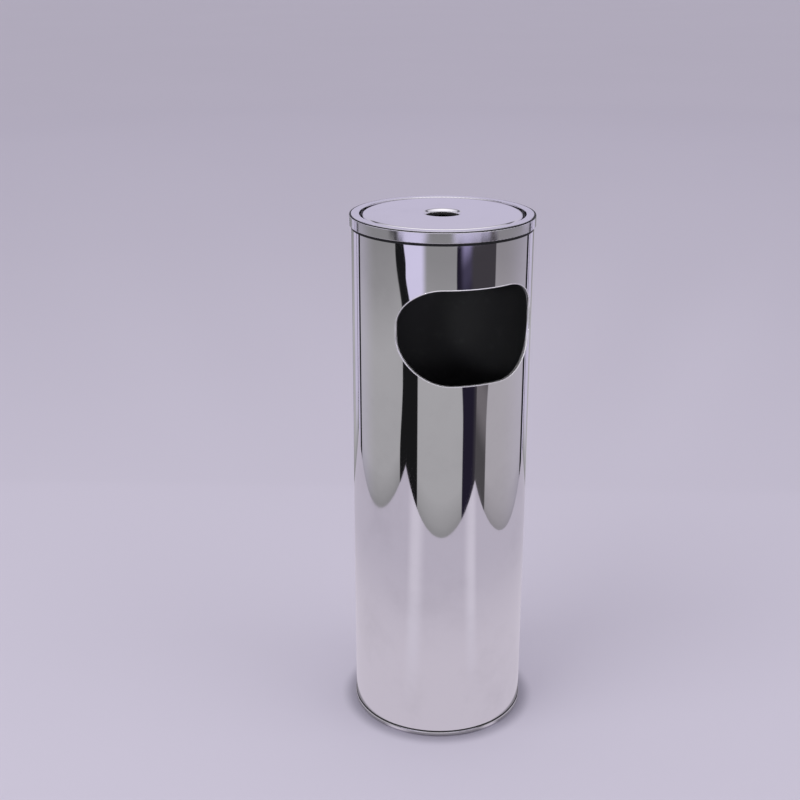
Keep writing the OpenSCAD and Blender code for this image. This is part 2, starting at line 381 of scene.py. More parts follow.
# The bin stands between four low panels that only its reflections show. Their feet meet
# the floor. Each corner is (right, toward) as the camera sees it.
PANEL_HEIGHT = 0.67
SHADED_HEIGHT = 0.62                    # the panels' grey goes through its stops over this height
FRONT_LEFT = (-0.61, 0.65)
FRONT_RIGHT = (0.58, 0.59)
BACK_RIGHT = (0.61, -0.62)
BACK_LEFT = (-0.75, -0.62)
CARD_LIFT = 0.0006                      # the reflected floor lies this far above the floor

# The reflected floor: its colours far from the bin, near it and in the two pale rays, the
# rays' slants (right over toward), and the ring round the foot where its shade fades out.
CARD_FAR = (0.505, 0.468, 0.56)
CARD_NEAR = (0.605, 0.56, 0.65)
CARD_RAY = (0.64, 0.60, 0.70)
RAY_SLANTS = (-0.56, 0.84)
CARD_SHADE_INNER = 0.1045
CARD_SHADE_OUTER = 0.1085

# The rim reflects only the band of the panels above BAND_LOW. The band's lower edge arches
# about BAND_MIDDLE.
BAND_LOW = 0.461
BAND_MIDDLE = 0.6
BAND_ARCH = 0.13

# The lamps in front of the litter opening: name, place to the right, power in watts.
OPENING_LAMPS = (("opening_light_right", 0.40, 60.0), ("opening_light_left", -0.35, 125.0))
LAMP_TOWARD = 1.2
LAMP_HEIGHT = 0.74
LAMP_CONE = math.radians(12.0)
LAMP_RADIUS = 0.22

COOL = (1.0, 0.985, 1.03)
PALE = (0.56, 0.52, 0.68)
WHITE = (0.68, 0.64, 0.86)
DARK = (0.010, 0.010, 0.011)
DARK_VIOLET = (0.016, 0.013, 0.026)
DARK_GREY = (0.052, 0.047, 0.056)
LILAC = (0.060, 0.052, 0.095)
LILAC_BRIGHT = (0.26, 0.23, 0.40)
MID_GREY = (0.17, 0.155, 0.17)
RIM_DARK = (0.035, 0.033, 0.038)
BELT_COLOUR = (0.15, 0.14, 0.17)
FOOT_SHADE = (0.24, 0.225, 0.26)
LOW_GREY = (0.075, 0.070, 0.077)

# The panels' grey, from the foot to SHADED_HEIGHT.
PANEL_STOPS = ((0.0, 0.26), (0.03, 0.33), (0.10, 0.41), (0.42, 0.42), (0.70, 0.27), (1.0, 0.25))


def floor_material():
    """Matt and pale on top, and clear from below, so that a low view shows the bin's feet.
    It is a little darker round the foot of the bin: a painted contact shadow."""
    graph = Graph("floor")
    place = graph.place()
    cloud = graph.noise(place, 0.8, 2.0)
    colour = graph.mix(cloud, FLOOR_COLOUR, FLOOR_COLOUR_LIGHT)
    # painted contact shadow round the bin's foot
    foot = graph.rise(graph.radius(place), FLOOR_SHADE_INNER, FLOOR_SHADE_OUTER, 1.0, 0.0)
    upper = graph.node("ShaderNodeBsdfPrincipled", {
        "Base Color": graph.mix(foot, colour, FLOOR_SHADE),
        "Roughness": 0.9,
        "Specular IOR Level": 0.2,
    })
    lower = graph.node("ShaderNodeBsdfTransparent")
    side = graph.node("ShaderNodeNewGeometry").outputs["Backfacing"]
    sides = graph.node("ShaderNodeMixShader", {0: side, 1: upper.outputs[0], 2: lower.outputs[0]})
    return graph.finish(sides.outputs[0])


def plane(name, corners, material):
    mesh = bpy.data.meshes.new(name)
    mesh.from_pydata([tuple(c) for c in corners], [], [tuple(range(len(corners)))])
    mesh.materials.append(material)
    made = bpy.data.objects.new(name, mesh)
    bpy.context.scene.collection.objects.link(made)
    return made


def make_floor():
    turns = [2 * math.pi * i / FLOOR_SIDES for i in range(FLOOR_SIDES)]
    corners = [(FLOOR_RADIUS * math.cos(a), FLOOR_RADIUS * math.sin(a), 0) for a in turns]
    plane("floor", corners, floor_material())


def only_reflected(card):
    """A card that lights nothing and hides nothing: it is only seen in reflections."""
    card.visible_camera = False
    card.visible_diffuse = False
    card.visible_shadow = False
    card.visible_transmission = False
    card.visible_volume_scatter = False


def panel(name, start, end, paint):
    """A standing card from start to end, with its lower edge on the floor.
    paint(graph, along, height) gives its colour; along is in metres from start."""
    first, last = studio_point(*start, 0), studio_point(*end, 0)
    length = (last - first).length
    graph = Graph(name)
    along, height, _ = graph.parts(graph.place())
    material = graph.glow(paint(graph, along, height))
    corners = ((0, 0, 0), (length, 0, 0), (length, PANEL_HEIGHT, 0), (0, PANEL_HEIGHT, 0))
    card = plane(name, corners, material)
    right = (last - first).normalized()
    turn = Matrix((right, UP, right.cross(UP))).transposed().to_4x4()
    card.matrix_world = Matrix.Translation(first) @ turn
    only_reflected(card)


def panel_grey(graph, height, gain, tint=COOL):
    """The panels' grey: darker at the foot, and darker again towards the top."""
    stops = [(at, tuple(level * gain * t for t in tint)) for at, level in PANEL_STOPS]
    return graph.ramp(graph.math("DIVIDE", height, SHADED_HEIGHT), stops)


def edge(graph, along, at, soft=0.008):
    """0 before the place at and 1 after it."""
    return graph.rise(graph.math("SUBTRACT", along, at), -soft, soft)


def stretch(graph, along, start, end, soft=0.008):
    """1 between start and end, and 0 elsewhere."""
    after = edge(graph, along, start, soft)
    before = graph.math("SUBTRACT", 1.0, edge(graph, along, end, soft))
    return graph.math("MULTIPLY", after, before)


def top_band(graph, along, height, lift=0.0):
    """1 in the highest stretch of a panel, which only the rim reflects. Its lower edge
    arches, as the reflection does."""
    off_centre = graph.math("ABSOLUTE", graph.math("SUBTRACT", along, BAND_MIDDLE))
    off_centre = graph.math("POWER", off_centre, 2.0)
    low = graph.math("MULTIPLY_ADD", off_centre, -BAND_ARCH, BAND_LOW + lift)
    return edge(graph, height, low, 0.003)


def front_paint(graph, along, height):
    """From the left corner: a dark gap with a bright window over it, grey, a wide dark gap
    with a lilac glow in it."""
    grey = panel_grey(graph, height, 1.0)
    window_start = graph.rise(height, 0.28, 0.35, 0.25, -0.02)
    colour = graph.mix(edge(graph, along, 0.276), DARK, grey)
    window = edge(graph, along, window_start)
    window = graph.math("MULTIPLY", graph.rise(height, 0.24, 0.28), window)
    window = graph.math("MULTIPLY", window, graph.rise(along, 0.32, 0.43, 1.0, 0.0))
    colour = graph.mix(window, colour, WHITE)
    gap_start = graph.rise(height, 0.15, 0.42, 0.924, 0.797)
    in_gap = graph.math("SUBTRACT", along, gap_start)
    glow = graph.mix(graph.rise(height, 0.34, 0.40), DARK_VIOLET, LILAC)
    glow = graph.mix(graph.rise(height, 0.405, 0.45), glow, LILAC_BRIGHT)
    gap = graph.mix(graph.rise(in_gap, 0.03, 0.12), DARK_VIOLET, glow)
    gap = graph.mix(graph.rise(in_gap, 0.17, 0.28), gap, DARK_GREY)
    colour = graph.mix(graph.rise(in_gap, -0.008, 0.008), colour, gap)
    rim = graph.mix(graph.rise(along, 0.36, 0.48), WHITE, panel_grey(graph, height, 0.95))
    rim = graph.mix(graph.rise(along, 0.70, 0.80), rim, WHITE)
    return graph.mix(top_band(graph, along, height), colour, rim)


def left_paint(graph, along, height):
    """From the back corner: pale, a thin dark line, grey, and the dark gap at the front."""
    colour = panel_grey(graph, height, 0.98)
    colour = graph.mix(graph.rise(along, 0.30, 0.70, 0.35, 0.0), colour, PALE)
    colour = graph.mix(stretch(graph, along, 0.125, 0.215), colour, DARK)
    colour = graph.mix(edge(graph, along, 0.125), PALE, colour)
    low_start = graph.rise(height, 0.05, 0.17, 1.14, 1.20)
    high_start = graph.rise(height, 0.27, 0.42, 1.20, 1.05)
    gap_start = graph.math("MINIMUM", low_start, high_start)
    colour = graph.mix(edge(graph, along, gap_start), colour, DARK)
    window_start = graph.rise(height, 0.345, 0.42, 1.29, 1.22)
    colour = graph.mix(edge(graph, along, window_start), colour, WHITE)
    rim = panel_grey(graph, height, 1.0)
    rim = graph.mix(stretch(graph, along, 0.96, 1.10, 0.03), rim, RIM_DARK)
    rim = graph.mix(edge(graph, along, 1.13, 0.03), rim, WHITE)
    return graph.mix(top_band(graph, along, height), colour, rim)


def right_paint(graph, along, height):
    """From the front corner: the rest of the dark gap, grey, a thin dark line, pale."""
    colour = panel_grey(graph, height, 1.02, (1.02, 0.97, 1.06))
    colour = graph.mix(graph.rise(along, 0.40, 1.0, 0.0, 0.30), colour, PALE)
    gap_end = graph.rise(height, 0.14, 0.40, 0.217, 0.32)
    gap = graph.mix(graph.rise(height, 0.08, 0.16), LOW_GREY, MID_GREY)
    gap = graph.mix(graph.rise(height, 0.18, 0.27), gap, DARK_GREY)
    colour = graph.mix(edge(graph, along, gap_end), gap, colour)
    colour = graph.mix(stretch(graph, along, 1.02, 1.13), colour, DARK)
    colour = graph.mix(edge(graph, along, 1.13), colour, PALE)
    rim = graph.mix(stretch(graph, along, 0.19, 0.29, 0.03), WHITE, MID_GREY)
    rim = graph.mix(edge(graph, along, 0.29, 0.03), rim, panel_grey(graph, height, 1.0))
    rim = graph.mix(edge(graph, along, 0.80, 0.08), rim, PALE)
    return graph.mix(top_band(graph, along, height, 0.012), colour, rim)


def back_paint(graph, along, height):
    """Pale, with two grey cards and thin dark gaps beside them."""
    grey = panel_grey(graph, height, 1.0)
    colour = graph.mix(graph.rise(height, 0.0, 0.12), grey, PALE)
    off_centre = graph.math("ABSOLUTE", graph.math("SUBTRACT", along, 0.68))
    colour = graph.mix(stretch(graph, off_centre, 0.22, 0.44), colour, grey)
    colour = graph.mix(stretch(graph, off_centre, 0.19, 0.22), colour, DARK)
    return graph.mix(edge(graph, off_centre, 0.655), colour, DARK)


def lit_floor():
    """The floor as the lower tube reflects it: paler near the bin, with two pale rays
    towards the front corners, and shaded close to the bin's foot between them."""
    graph = Graph("lit_floor")
    place = graph.place()
    right, toward, _ = graph.parts(place)
    ahead = graph.math("MAXIMUM", toward, 0.001)
    slant = graph.math("DIVIDE", right, ahead)
    off_ray = [graph.math("ABSOLUTE", graph.math("SUBTRACT", slant, at)) for at in RAY_SLANTS]
    ray = graph.rise(graph.math("MINIMUM", *off_ray), 0.03, 0.30, 1.0, 0.0)
    far_ray = graph.math("MULTIPLY", ray, graph.rise(toward, 0.10, 0.30))
    radius = graph.radius(place)
    near = graph.rise(radius, 0.22, 0.56, 1.0, 0.0)
    colour = graph.mix(near, CARD_FAR, CARD_NEAR)
    colour = graph.mix(far_ray, colour, CARD_RAY)
    foot = graph.rise(radius, CARD_SHADE_INNER, CARD_SHADE_OUTER, 1.0, 0.0)
    foot = graph.math("MULTIPLY", foot, graph.math("SUBTRACT", 1.0, ray))
    colour = graph.mix(foot, colour, FOOT_SHADE)
    corners = [(*corner, 0) for corner in (BACK_LEFT, BACK_RIGHT, FRONT_RIGHT, FRONT_LEFT)]
    card = plane("lit_floor", corners, graph.glow(colour))
    turn = Matrix((CAMERA_RIGHT, TOWARD_CAMERA, CAMERA_RIGHT.cross(TOWARD_CAMERA))).transposed()
    card.matrix_world = Matrix.Translation((0, 0, CARD_LIFT)) @ turn.to_4x4()
    only_reflected(card)


def sky_material():
    """A pale horizon, a soft light overhead, and a darker belt between them behind the bin."""
    belt_low, belt_high = 0.54, 0.675
    belt_full, belt_gone = -0.50, -0.38
    graph = Graph("sky")
    place = graph.node("ShaderNodeVectorMath", {0: graph.place()}, operation="NORMALIZE").outputs[0]
    x, y, height = graph.parts(place)
    stops = (
        (0.00, (0.50, 0.47, 0.62)),
        (0.20, (0.56, 0.52, 0.69)),
        (0.72, (0.62, 0.60, 0.68)),
        (1.00, (1.25, 1.22, 1.30)),
    )
    colour = graph.ramp(height, stops)
    toward_x = graph.math("MULTIPLY", x, TOWARD_CAMERA.x)
    toward = graph.math("MULTIPLY_ADD", y, TOWARD_CAMERA.y, toward_x)
    behind = graph.rise(toward, belt_full, belt_gone, 1.0, 0.0)
    belt = graph.math("MULTIPLY", stretch(graph, height, belt_low, belt_high, 0.04), behind)
    return graph.glow(graph.mix(belt, colour, BELT_COLOUR))


def dome(name, radius, material):
    """A sphere round the whole studio. Only reflections show it, unless the caller says more."""
    shape = bmesh.new()
    bmesh.ops.create_uvsphere(shape, u_segments=64, v_segments=32, radius=radius)
    mesh = bpy.data.meshes.new(name)
    shape.to_mesh(mesh)
    shape.free()
    mesh.materials.append(material)
    made = bpy.data.objects.new(name, mesh)
    bpy.context.scene.collection.objects.link(made)
    only_reflected(made)
    return made


def make_backdrop():
    """Closes the studio far behind the bin in the floor's own tone, with no horizon."""
    backdrop = dome("backdrop", BACKDROP_RADIUS, Graph("backdrop").glow((*BACKDROP_COLOUR, 1.0)))
    backdrop.visible_camera = True
    backdrop.visible_glossy = False


def aimed_light(name, kind, place, target, power):
    """Adds a light that no reflection shows, and returns its data."""
    data = bpy.data.lights.new(name, kind)
    data.energy = power
    light = bpy.data.objects.new(name, data)
    bpy.context.scene.collection.objects.link(light)
    light.location = place
    light.rotation_euler = (target - place).to_track_quat("-Z", "Y").to_euler()
    light.visible_glossy = False
    return data


def soft_light(name, right, toward, height, size, power):
    middle = Vector((0, 0, 0.3))
    light = aimed_light(name, "AREA", studio_point(right, toward, height), middle, power)
    light.shape = "DISK"
    light.size = size


def opening_lights():
    """Two narrow lamps in front of the litter opening, which lift the black inside it."""
    low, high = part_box("opening_trim")
    target = Vector((0, 0, (low.z + high.z) / 2))
    for name, right, power in OPENING_LAMPS:
        place = studio_point(right, LAMP_TOWARD, LAMP_HEIGHT)
        light = aimed_light(name, "SPOT", place, target, power)
        light.spot_size = LAMP_CONE
        light.spot_blend = 1.0
        light.shadow_soft_size = LAMP_RADIUS


def make_world():
    world = bpy.data.worlds.new("world")
    bpy.context.scene.world = world
    world.use_nodes = True
    background = world.node_tree.nodes["Background"]
    background.inputs["Color"].default_value = (*WORLD_COLOUR, 1.0)
    background.inputs["Strength"].default_value = WORLD_STRENGTH


def make_studio():
    make_floor()
    panel("front_panel", FRONT_LEFT, FRONT_RIGHT, front_paint)
    panel("left_panel", BACK_LEFT, FRONT_LEFT, left_paint)
    panel("right_panel", FRONT_RIGHT, BACK_RIGHT, right_paint)
    panel("back_panel", BACK_RIGHT, BACK_LEFT, back_paint)
    lit_floor()
    dome("sky", SKY_RADIUS, sky_material())
    make_backdrop()
    make_world()
    soft_light("key_light", -1.2, 1.0, 2.2, 1.6, 14.0)
    soft_light("fill_light", 1.5, 0.6, 1.9, 1.6, 6.0)
    opening_lights()
    bpy.context.scene.view_settings.view_transform = "Standard"


# ---------------------------------------------------------------- shaping

Z_AXIS = Vector((0, 0, 1))


def loft(shape, rings, loop=False, place=Matrix()):
    """Skins rings of points, each closed on itself. With loop the last ring also joins the
    first; otherwise the two end rings are capped."""
    made = [[shape.verts.new(place @ Vector(point)) for point in ring] for ring in rings]
    following = made[1:] + made[:1] if loop else made[1:]
    for ring, after in zip(made, following):
        for i in range(len(ring)):
            j = (i + 1) % len(ring)
            shape.faces.new((ring[i], ring[j], after[j], after[i]))
    if not loop:
        shape.faces.new(tuple(reversed(made[0])))
        shape.faces.new(made[-1])


def turned(shape, profile_at, sides, place=Matrix()):
    """Turns a closed (radius, height) profile round Z. profile_at(angle) gives its points."""
    rings = []
    for i in range(sides):
        angle = 2 * math.pi * i / sides
        profile = profile_at(angle)
        rings.append([(r * math.cos(angle), r * math.sin(angle), z) for r, z in profile])
    loft(shape, rings, loop=True, place=place)
    bmesh.ops.remove_doubles(shape, verts=shape.verts, dist=1e-7)


def lathe(shape, profile, sides=240, place=Matrix()):
    turned(shape, lambda angle: profile, sides, place)


def stack(shape, levels, sides, place=Matrix()):
    """Skins a stack of rings. Each level is (height, radius), or a function of the angle."""
    turns = [2 * math.pi * i / sides for i in range(sides)]
    rings = []
    for height, radius in levels:
        size = radius if callable(radius) else lambda angle, r=radius: r
        rings.append([(size(a) * math.cos(a), size(a) * math.sin(a), height) for a in turns])
    loft(shape, rings, place=place)


def arc(r, z, radius, start, end, steps):
    """Points of an arc about (r, z). Angles are in degrees, 0 outwards and 90 upwards."""
    turns = [math.radians(start + (end - start) * i / steps) for i in range(steps + 1)]
    return [(r + radius * math.cos(a), z + radius * math.sin(a)) for a in turns]


def sheet(path, thickness):
    """A closed profile of even thickness along an open (radius, height) path."""
    left, right = [], []
    for i, (r, z) in enumerate(path):
        r0, z0 = path[max(i - 1, 0)]
        r1, z1 = path[min(i + 1, len(path) - 1)]
        along = Vector((r1 - r0, z1 - z0)).normalized() * thickness / 2
        left.append((max(r - along.y, 0.0), z + along.x))
        right.append((max(r + along.y, 0.0), z - along.x))
    return left + right[::-1]


def wire(shape, path, radius, sides=20):
    """Sweeps a round wire along a list of points."""
    across = Z_AXIS
    rings = []
    for i, point in enumerate(path):
        along = (path[min(i + 1, len(path) - 1)] - path[max(i - 1, 0)]).normalized()
        across = (across - along * across.dot(along)).normalized()
        side = along.cross(across)
        turns = [2 * math.pi * k / sides for k in range(sides)]
        rings.append([point + radius * (math.cos(a) * across + math.sin(a) * side) for a in turns])
    loft(shape, rings)


def piece(name, shape, material, body, replaced=(), sharp=38.0):
    """Turns a shape into an object that rides on a body and stands for CAD nodes."""
    bmesh.ops.recalc_face_normals(shape, faces=shape.faces)
    mesh = bpy.data.meshes.new(name)
    shape.to_mesh(mesh)
    shape.free()
    mesh.polygons.foreach_set("use_smooth", [True] * len(mesh.polygons))
    mesh.set_sharp_from_angle(angle=math.radians(sharp))
    mesh.materials.append(material)
    made = bpy.data.objects.new(name, mesh)
    bpy.context.scene.collection.objects.link(made)
    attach(made, body)
    if replaced:
        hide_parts(*replaced)
    return made


# ---------------------------------------------------------------- the bin

MM = 0.001
TUBE_LOW, TUBE_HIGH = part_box("outer_tube")
TUBE_RADIUS = TUBE_HIGH.x
SHEET = 0.8 * MM

THROAT_RADIUS = 18 * MM                 # of the lid's hole
MOUTH_ROUND = 5 * MM
MOUTH_EDGE = THROAT_RADIUS + MOUTH_ROUND
# how far below the lid's top the soot and painted shade in the mouth begin
SOOT_AND_SHADE_DEPTH = 2.9 * MM
LID_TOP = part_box("lid_plate")[1].z

OPENING_TOP_RADIUS = 40 * MM
OPENING_LOW_RADIUS = 50 * MM
TRIM_CUT = 1 * MM                       # the CAD trim reaches this far outside the opening

FOOT_RADIUS = 7 * MM
FOOT_COUNT = 4
RECESS_RADIUS = 4.3 * MM                # of the recess for a screw's head
RECESS_DEPTH = 2.2 * MM
SCREW_HOLE = 2.2 * MM
THREAD_RADIUS = 2.0 * MM
THREAD_PITCH = 0.7 * MM
THREAD_DEPTH = 0.4 * MM

BAIL_WIRE = 2 * MM                      # radius of the wire
BAIL_LEG = 5.5 * MM
BAIL_BEND = 5 * MM
RIVET_HEAD = 3.3 * MM


def opening_path():
    """The litter opening's edge as (angle round the tube from its centre, height) points,
    counter-clockwise as seen from the front."""
    low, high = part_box("opening_trim")
    half = high.x - TRIM_CUT
    bottom, top = low.z + TRIM_CUT, high.z - TRIM_CUT
    corners = (
        (half - OPENING_LOW_RADIUS, bottom + OPENING_LOW_RADIUS, OPENING_LOW_RADIUS, -90),
        (half - OPENING_TOP_RADIUS, top - OPENING_TOP_RADIUS, OPENING_TOP_RADIUS, 0),
        (OPENING_TOP_RADIUS - half, top - OPENING_TOP_RADIUS, OPENING_TOP_RADIUS, 90),
        (OPENING_LOW_RADIUS - half, bottom + OPENING_LOW_RADIUS, OPENING_LOW_RADIUS, 180),
    )
    outline = []
    for x, z, radius, start in corners:
        outline += arc(x, z, radius, start, start + 90, 26)
    path = []
    for (x0, z0), (x1, z1) in zip(outline, outline[1:] + outline[:1]):
        steps = max(1, round(math.hypot(x1 - x0, z1 - z0) / (3 * MM)))
        for i in range(steps):
            x = x0 + (x1 - x0) * i / steps
            z = z0 + (z1 - z0) * i / steps
            path.append((math.asin(x / TUBE_RADIUS), z))
    return path


def on_tube(angle, height, radius):
    """A point in front of the bin, at an angle from the middle of the opening."""
    return (radius * math.sin(angle), -radius * math.cos(angle), height)


def opening_bead(material):
    """The rolled edge of the litter opening: a bead that closes over the cut sheet."""
    middle_out, half_wide = 0.75 * MM, 0.62 * MM
    middle_r, half_deep = TUBE_RADIUS - 1.2 * MM, 1.9 * MM
    sides = 18

    def squared(value):
        """Rounds the bead's section more like a rectangle than a circle does."""
        return math.copysign(abs(value) ** 0.7, value)

    path = opening_path()
    rings = []
    for i, (angle, height) in enumerate(path):
        before, after = path[i - 1], path[(i + 1) % len(path)]
        along = Vector(((after[0] - before[0]) * TUBE_RADIUS, after[1] - before[1])).normalized()
        widening = 1 + (1 / math.cos(angle) - 1) * along.y ** 2
        ring = []
        for k in range(sides):
            turn = 2 * math.pi * k / sides
            out = (middle_out + half_wide * squared(math.cos(turn))) * widening
            radius = middle_r + half_deep * squared(math.sin(turn))
            at = angle + along.y * out / TUBE_RADIUS
            ring.append(on_tube(at, height - along.x * out, radius))
        rings.append(ring)
    shape = bmesh.new()
    loft(shape, rings, loop=True)
    piece("opening_bead", shape, material, "body", ["opening_trim"], sharp=80)


def rear_seam(material):
    """The welded seam down the back of the tube, ground nearly flush."""
    half_wide, proud, ripple = 1.5 * MM, 0.14 * MM, 0.05 * MM
    step = 1.5 * MM
    count = int((TUBE_HIGH.z - TUBE_LOW.z - 2 * MM) / step)
    root = TUBE_RADIUS - SHEET / 2
    rings = []
    for i in range(count + 1):
        height = TUBE_LOW.z + MM + i * step
        rise = proud + ripple * math.sin(i * 1.9)
        outer = [(k / 4 * half_wide, TUBE_RADIUS + rise * (1 - (k / 4) ** 2)) for k in range(-4, 5)]
        inner = [(k / 4 * half_wide, root) for k in range(4, -5, -1)]
        rings.append([(x, math.sqrt(r * r - x * x), height) for x, r in outer + inner])
    shape = bmesh.new()
    loft(shape, rings)
    piece("rear_seam", shape, material, "body", sharp=60)


def foot_places():
    """Where the feet stand, as matrices."""
    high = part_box("feet")[1]
    distance = (high.x - FOOT_RADIUS) * math.sqrt(2)
    turns = [math.radians(45 + i * 360 / FOOT_COUNT) for i in range(FOOT_COUNT)]
    return [Matrix.Translation((distance * math.cos(a), distance * math.sin(a), 0)) for a in turns]


def rubber_feet(material):
    """Feet with a recess for the screw's head and two fine grooves round their sides."""
    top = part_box("feet")[1].z
    profile = [(SCREW_HOLE, top), (SCREW_HOLE, RECESS_DEPTH)]
    profile += [(RECESS_RADIUS, RECESS_DEPTH), (RECESS_RADIUS, 0.4 * MM)]
    profile += arc(4.7 * MM, 0.4 * MM, 0.4 * MM, 180, 270, 5)
    profile += arc(5.4 * MM, 0.6 * MM, 0.6 * MM, 270, 360, 6)
    for groove in (1.5 * MM, 2.6 * MM):
        side = 6 * MM + groove / top * MM
        profile += arc(side, groove, 0.25 * MM, 270, 90, 8)
    profile += arc(6.6 * MM, top - 0.4 * MM, 0.4 * MM, 0, 90, 5)
    shape = bmesh.new()
    for place in foot_places():
        lathe(shape, profile, 64, place)
    piece("rubber_feet", shape, material, "body", ["feet"], sharp=50)


def cross(size, width):
    """Outline of a cross recess as a radius for each angle."""

    def radius(angle):
        folded = abs((angle + math.pi / 4) % (math.pi / 2) - math.pi / 4)
        return min(size / math.cos(folded), width / max(math.sin(folded), 1e-6))

    return radius


def thread(height):
    """Outline of a right-hand thread cut at this height."""

    def radius(angle):
        turn = (height / THREAD_PITCH - angle / (2 * math.pi)) % 1.0
        return THREAD_RADIUS - THREAD_DEPTH * (1 - abs(2 * turn - 1))

    return radius


def machine_screws(material):
    """Pan-head screws with a cross recess, their heads up inside the rubber feet."""
    low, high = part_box("foot_screws")
    face, seat = low.z, RECESS_DEPTH
    levels = [
        (face + 1.0 * MM, cross(1.2 * MM, 0.30 * MM)),
        (face, cross(2.0 * MM, 0.45 * MM)),
        (face, 2.6 * MM),
    ]
    levels += [(z, r) for r, z in arc(2.8 * MM, face + 1.1 * MM, 1.1 * MM, 270, 360, 8)]
    levels += [(seat, 3.9 * MM), (seat, THREAD_RADIUS)]
    rows = int((high.z - 0.5 * MM - seat) / (THREAD_PITCH / 6))
    levels += [(z, thread(z)) for z in (seat + i * THREAD_PITCH / 6 for i in range(1, rows))]
    levels += [(high.z - 0.4 * MM, THREAD_RADIUS - THREAD_DEPTH), (high.z, 1.3 * MM)]
    shape = bmesh.new()
    for place in foot_places():
        stack(shape, levels, 48, place)
    piece("machine_screws", shape, material, "body", ["foot_screws"], sharp=30)


def hexagon_nuts(material):
    """Nuts with chamfered corners and a countersunk bore."""
    low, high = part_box("foot_nuts")
    inscribed, bore, bevel = 3.5 * MM, THREAD_RADIUS, 0.4 * MM
    face_r = inscribed * 0.97
    slope = math.tan(math.radians(30))

    def profile(angle):
        folded = (angle + math.pi / 6) % (math.pi / 3) - math.pi / 6
        corner = inscribed / math.cos(folded)
        cut = (corner - face_r) * slope
        return [
            (bore + bevel, low.z), (face_r, low.z), (corner, low.z + cut),
            (corner, high.z - cut), (face_r, high.z), (bore + bevel, high.z),
            (bore, high.z - bevel), (bore, low.z + bevel),
        ]

    shape = bmesh.new()
    for place in foot_places():
        turned(shape, profile, 72, place)
    piece("hexagon_nuts", shape, material, "body", ["foot_nuts"], sharp=25)


def base_pan(material):
    """The bottom plate: a raised middle and eight stamped ribs, clear of the feet."""
    low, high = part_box("bottom_plate")
    thickness = 1 * MM
    rim_r = high.x
    level = low.z + thickness / 2
    dish_rise = high.z - low.z - thickness
    dish_top = level + dish_rise
    dish_r, rib_start, rib_end = 46 * MM, 52 * MM, 68 * MM
    rib_middle = (rib_start + rib_end) / 2
    rib_width, rib_rise, rib_rise_by_foot = 2.4 * MM, 1.6 * MM, 0.6 * MM

    def profile(angle):
        across = abs((angle + math.pi / 8) % (math.pi / 4) - math.pi / 8) * rib_middle
        near_foot = abs(angle % (math.pi / 2) - math.pi / 4) < 0.3
        bulge = math.exp(-((across / rib_width) ** 2))
        bulge *= rib_rise_by_foot if near_foot else rib_rise
        path = [(0, dish_top), (20 * MM, dish_top), (dish_r - 2 * MM, dish_top)]
        for i in range(9):
            part = i / 8
            smooth = part * part * (3 - 2 * part)
            radius = dish_r + (rib_start - dish_r) * part
            path.append((radius, level + dish_rise * (1 - smooth)))
        for i in range(1, 13):
            part = i / 12
            reach = (1 - math.cos(2 * math.pi * part)) / 2
            path.append((rib_start + (rib_end - rib_start) * part, level + bulge * reach))
        path += [(74 * MM, level), (rim_r - 3 * MM, level), (rim_r, level)]
        return sheet(path, thickness)

    shape = bmesh.new()
    turned(shape, profile, 288)
    piece("base_pan", shape, material, "body", ["bottom_plate"])


def lid_dish(material):
    """The lid plate: a faint crown, a rolled edge and a mouth drawn down round the hole."""
    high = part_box("lid_plate")[1]
    throat_r = THROAT_RADIUS + SHEET / 2
    mouth, roll, crown = MOUTH_ROUND - SHEET / 2, 2.4 * MM, 0.35 * MM
    top = high.z - SHEET / 2
    edge_r = high.x - SHEET / 2
    mouth_r = throat_r + mouth
    path = [(throat_r, top - mouth - 1 * MM), (throat_r, top - mouth - 0.5 * MM)]
    path += arc(mouth_r, top - mouth, mouth, 180, 90, 16)
    span = edge_r - roll - mouth_r
    for i in range(1, 25):
        part = i / 24
        path.append((mouth_r + span * part, top - crown * part * part))
    path += arc(edge_r - roll, top - crown - roll, roll, 88, 0, 12)
    path += [(edge_r, top - 3.6 * MM)]
    shape = bmesh.new()
    lathe(shape, sheet(path, SHEET), 300)
    piece("lid_dish", shape, material, "lid", ["lid_plate"], sharp=50)


def bucket_wall_path(low_z, rim_z):
    """Middle line of the bucket's wall: a taper with two swaged ribs."""
    low_r, top_r = 85.6 * MM, 92.1 * MM
    rib_rise, rib_width = 1.3 * MM, 2.6 * MM
    wall_top = rim_z - 1.4 * MM
    ribs = [low_z + part * (rim_z - low_z) for part in (0.10, 0.62)]
    steps = 170
    path = []
    for i in range(steps + 1):
        height = low_z + (wall_top - low_z) * i / steps
        radius = low_r + (top_r - low_r) * i / steps
        for rib in ribs:
            radius += rib_rise * math.exp(-(((height - rib) / rib_width) ** 2))
        path.append((radius, height))
    return path


def litter_bucket(coat):
    """The bucket: ribbed wall, rolled rim, and a bottom with two stamped rings."""
    ring_depth, ring_width = 1.2 * MM, 1.8 * MM
    low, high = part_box("bucket_shell")
    path = bucket_wall_path(low.z, high.z)
    top_r, wall_top = path[-1]
    curl = arc(top_r + 1.0 * MM, wall_top, 1.0 * MM, 165, -150, 20)
    shape = bmesh.new()
    lathe(shape, sheet(path + curl, SHEET))
    piece("bucket_wall", shape, coat, "bucket", ["bucket_shell"], sharp=50)

    low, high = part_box("bucket_bottom")
    level = high.z - SHEET / 2
    rim_r = high.x - SHEET / 2
    floor = []
    for i in range(80):
        radius = (rim_r - 2 * MM) * i / 79
        ring = sum(math.exp(-(((radius - at * MM) / ring_width) ** 2)) for at in (30, 62))
        floor.append((radius, level - ring_depth * ring))
    floor += arc(rim_r - 1.6 * MM, level - 1.6 * MM, 1.6 * MM, 90, 0, 8)
    floor.append((rim_r, low.z))
    shape = bmesh.new()
    lathe(shape, sheet(floor, SHEET))
    piece("bucket_floor", shape, coat, "bucket", ["bucket_bottom"], sharp=50)


